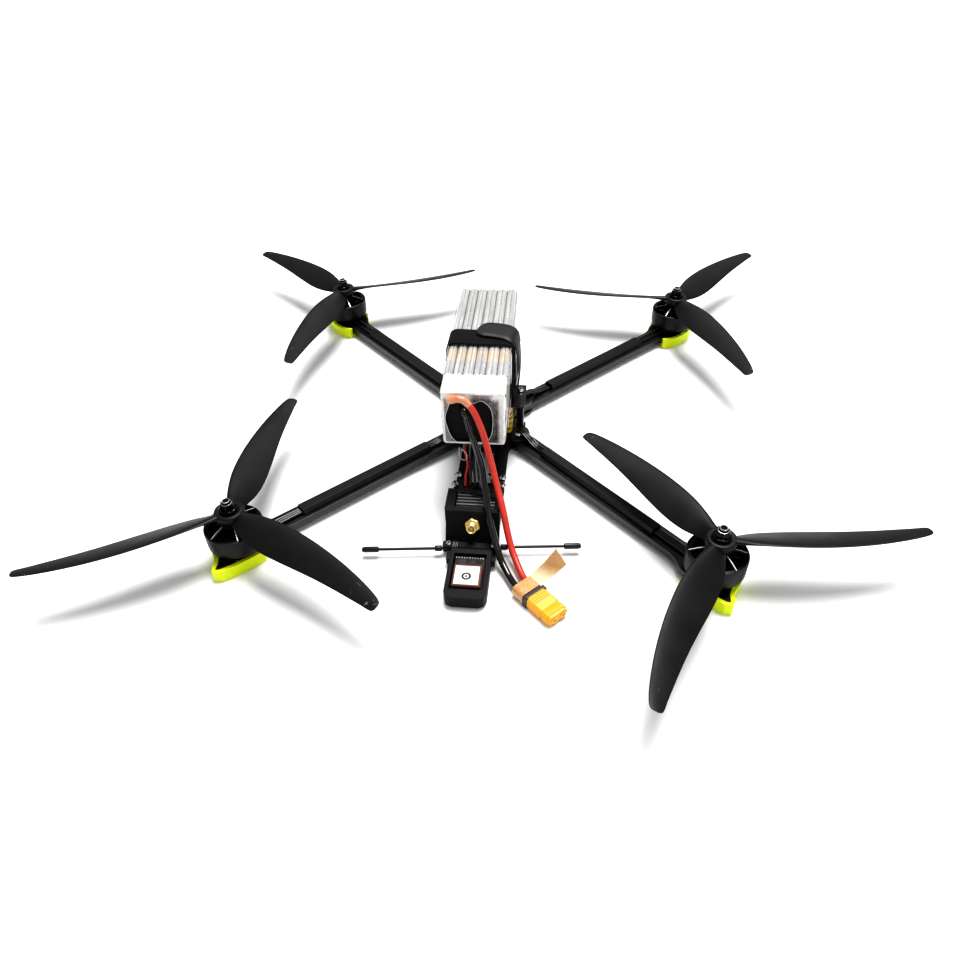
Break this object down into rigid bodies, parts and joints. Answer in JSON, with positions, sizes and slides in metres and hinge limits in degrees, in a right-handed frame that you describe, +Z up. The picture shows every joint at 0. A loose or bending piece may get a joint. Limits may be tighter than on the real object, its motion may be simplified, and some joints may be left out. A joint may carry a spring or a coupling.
{
  "type": "fpv racing drone",
  "caption": "Long-range quadcopter with carbon arms, soft yellow feet, three-bladed propellers and a strapped battery pack trailing its two power leads.",
  "frame": {"origin": "middle of the bottom plate's underside, under the frame's centre", "axes": "+Z up, +Y towards the nose (camera), -Y towards the tail (GPS), +X to the drone's right"},
  "size_m": [0.5404, 0.5214, 0.0914],
  "materials": {
    "carbon": "satin woven carbon fibre",
    "black_plastic": "matte",
    "blade_plastic": "satin",
    "black_metal": "black anodised",
    "dark_metal": "dark laminations and windings",
    "soft_black": "printed soft plastic",
    "soft_yellow": "fluorescent printed soft plastic",
    "cell_foil": "silver pouch cells under clear film",
    "webbing": "woven, with a rubber tab",
    "red_silicone": "smooth",
    "black_silicone": "smooth",
    "yellow_nylon": "moulded",
    "tape": "glossy adhesive tape",
    "circuit_board": "solder mask",
    "heatsink": "finned",
    "gold": "gold plated",
    "ceramic": "unglazed, brown"
  },
  "bodies": {
    "frame": {"bottom_plate": "carbon", "middle_plate": "carbon", "top_plate": "carbon", "rear_left_standoff": "black_metal", "rear_left_arm": "carbon", "rear_left_foot": "soft_yellow", "rear_left_wire_cover": "black_plastic", "rear_left_motor_wires": "black_silicone", "rear_left_motor_base": "dark_metal", "rear_right_standoff": "black_metal", "rear_right_arm": "carbon", "rear_right_foot": "soft_yellow", "rear_right_wire_cover": "black_plastic", "rear_right_motor_wires": "black_silicone", "rear_right_motor_base": "dark_metal", "front_left_standoff": "black_metal", "front_left_arm": "carbon", "front_left_foot": "soft_yellow", "front_left_wire_cover": "black_plastic", "front_left_motor_wires": "black_silicone", "front_left_motor_base": "dark_metal", "front_right_standoff": "black_metal", "front_right_arm": "carbon", "front_right_foot": "soft_yellow", "front_right_wire_cover": "black_plastic", "front_right_motor_wires": "black_silicone", "front_right_motor_base": "dark_metal", "speed_controller": "circuit_board", "flight_controller": "circuit_board", "receiver": "circuit_board", "power_plug": "yellow_nylon", "rear_mount": "soft_black", "video_transmitter": "heatsink", "antenna_connector": "gold", "receiver_antenna": "black_plastic", "gps_holder": "soft_black", "gps_module": "ceramic", "camera_bracket": "black_plastic", "battery_pad": "soft_black", "battery_pack": "cell_foil", "battery_strap": "webbing", "battery_lead_red": "red_silicone", "battery_lead_black": "black_silicone", "battery_connector": "yellow_nylon", "connector_tape": "tape"},
    "rear_left_rotor": {"rear_left_motor_bell": "black_metal", "rear_left_propeller": "blade_plastic", "rear_left_prop_nut": "black_metal"},
    "rear_right_rotor": {"rear_right_motor_bell": "black_metal", "rear_right_propeller": "blade_plastic", "rear_right_prop_nut": "black_metal"},
    "front_left_rotor": {"front_left_motor_bell": "black_metal", "front_left_propeller": "blade_plastic", "front_left_prop_nut": "black_metal"},
    "front_right_rotor": {"front_right_motor_bell": "black_metal", "front_right_propeller": "blade_plastic", "front_right_prop_nut": "black_metal"},
    "camera": {"camera": "black_plastic"}
  },
  "joints": [
    {"name": "rear_left_spin", "type": "hinge", "parent": "frame", "child": "rear_left_rotor", "pos_m": [-0.15097, -0.15097, 0.03], "axis": [0, 0, 1], "continuous": true},
    {"name": "rear_right_spin", "type": "hinge", "parent": "frame", "child": "rear_right_rotor", "pos_m": [0.15097, -0.15097, 0.03], "axis": [0, 0, 1], "continuous": true},
    {"name": "front_left_spin", "type": "hinge", "parent": "frame", "child": "front_left_rotor", "pos_m": [-0.15097, 0.15097, 0.03], "axis": [0, 0, 1], "continuous": true},
    {"name": "front_right_spin", "type": "hinge", "parent": "frame", "child": "front_right_rotor", "pos_m": [0.15097, 0.15097, 0.03], "axis": [0, 0, 1], "continuous": true},
    {"name": "camera_tilt", "type": "hinge", "parent": "frame", "child": "camera", "pos_m": [0, 0.074, 0.025], "axis": [1, 0, 0], "range_deg": [-10, 35]}
  ]
}
